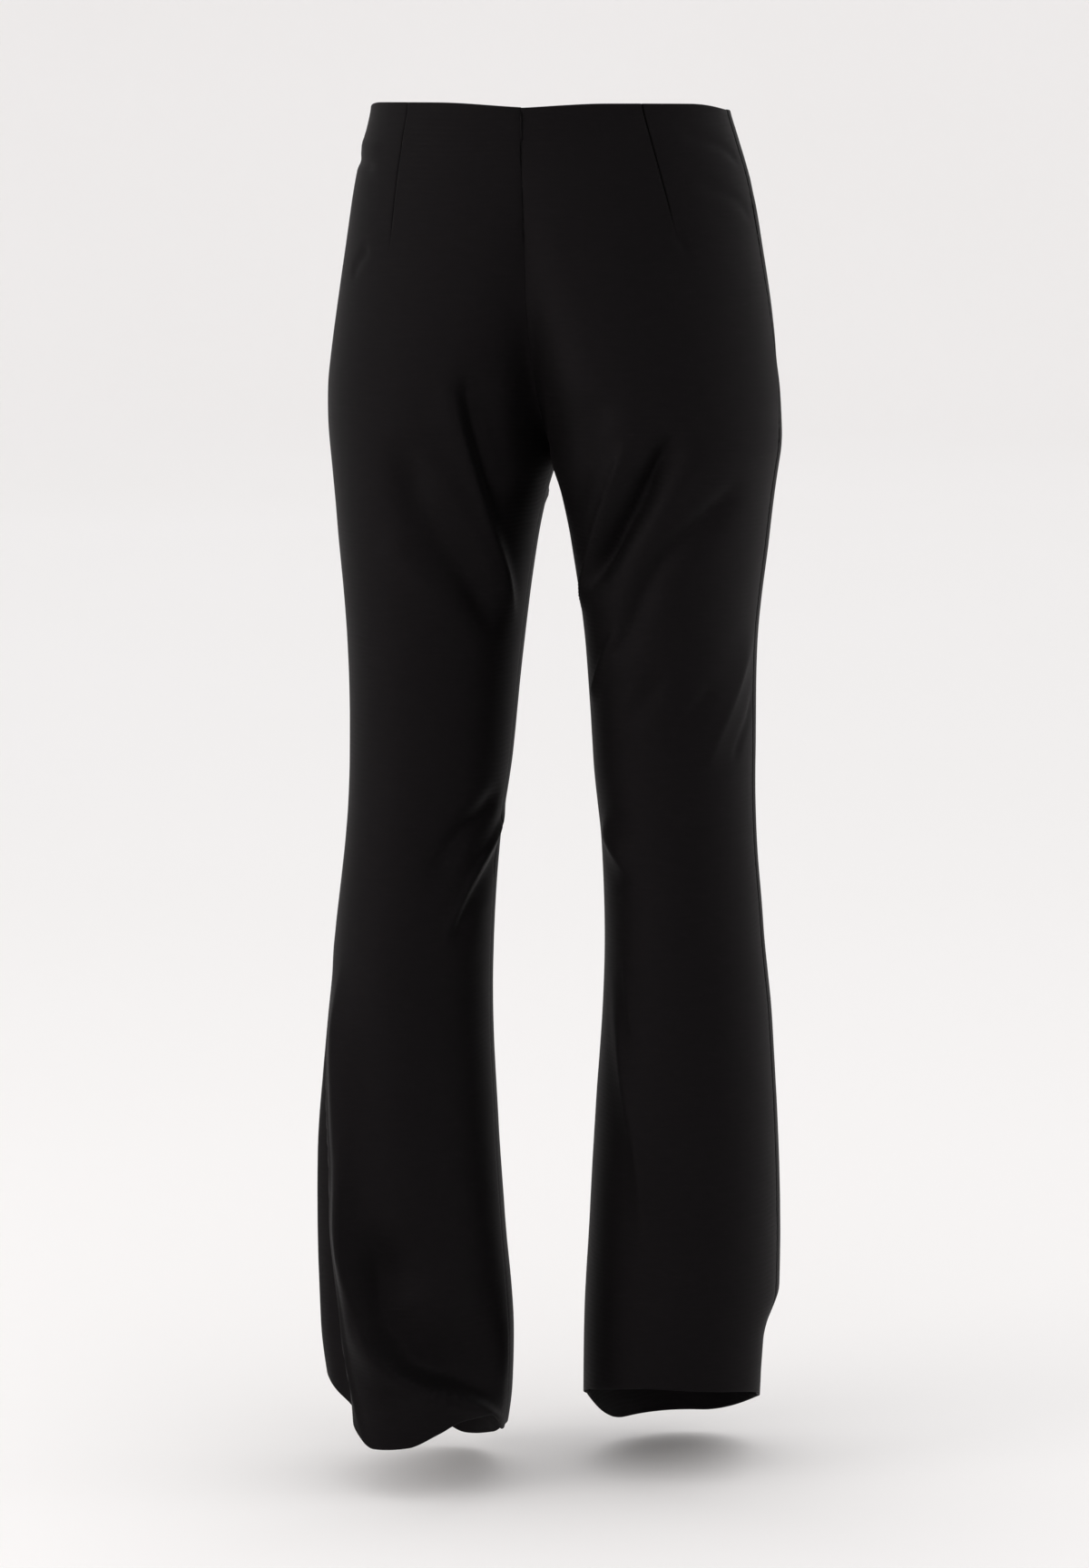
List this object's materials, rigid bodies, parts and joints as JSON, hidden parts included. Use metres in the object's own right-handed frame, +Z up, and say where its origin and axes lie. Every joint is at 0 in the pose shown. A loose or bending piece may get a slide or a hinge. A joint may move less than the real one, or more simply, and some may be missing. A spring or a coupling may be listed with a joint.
{
  "type": "flared trousers",
  "caption": "Flared trousers in their worn shape: hollow cloth walls, open waist and hems, darted back, and a concealed side zip with a hinged pull tab.",
  "frame": {"origin": "the middle of the waist opening, level with the waist edge at its highest", "axes": "+Z up the body, -Y the way the wearer faces, +X to the wearer's left"},
  "size_m": [0.3746, 0.2801, 1.1228],
  "materials": {
    "crepe": "matt black stretch crepe with a soft sheen at grazing angles",
    "zip_tape": "black woven polyester tape",
    "zip_metal": "black enamelled die-cast zinc"
  },
  "bodies": {
    "trousers": {"back_left": "crepe", "back_right": "crepe", "front_left": "crepe", "front_right": "crepe", "zip_tape_front": "zip_tape", "zip_tape_back": "zip_tape", "zip_slider": "zip_metal"},
    "pull_tab": {"zip_pull": "zip_metal"}
  },
  "joints": [
    {"name": "pull_tab_swing", "type": "hinge", "parent": "trousers", "child": "pull_tab", "pos_m": [0.14858, 0, -0.01366], "axis": [0, -1, 0], "range_deg": [0, 150]}
  ]
}
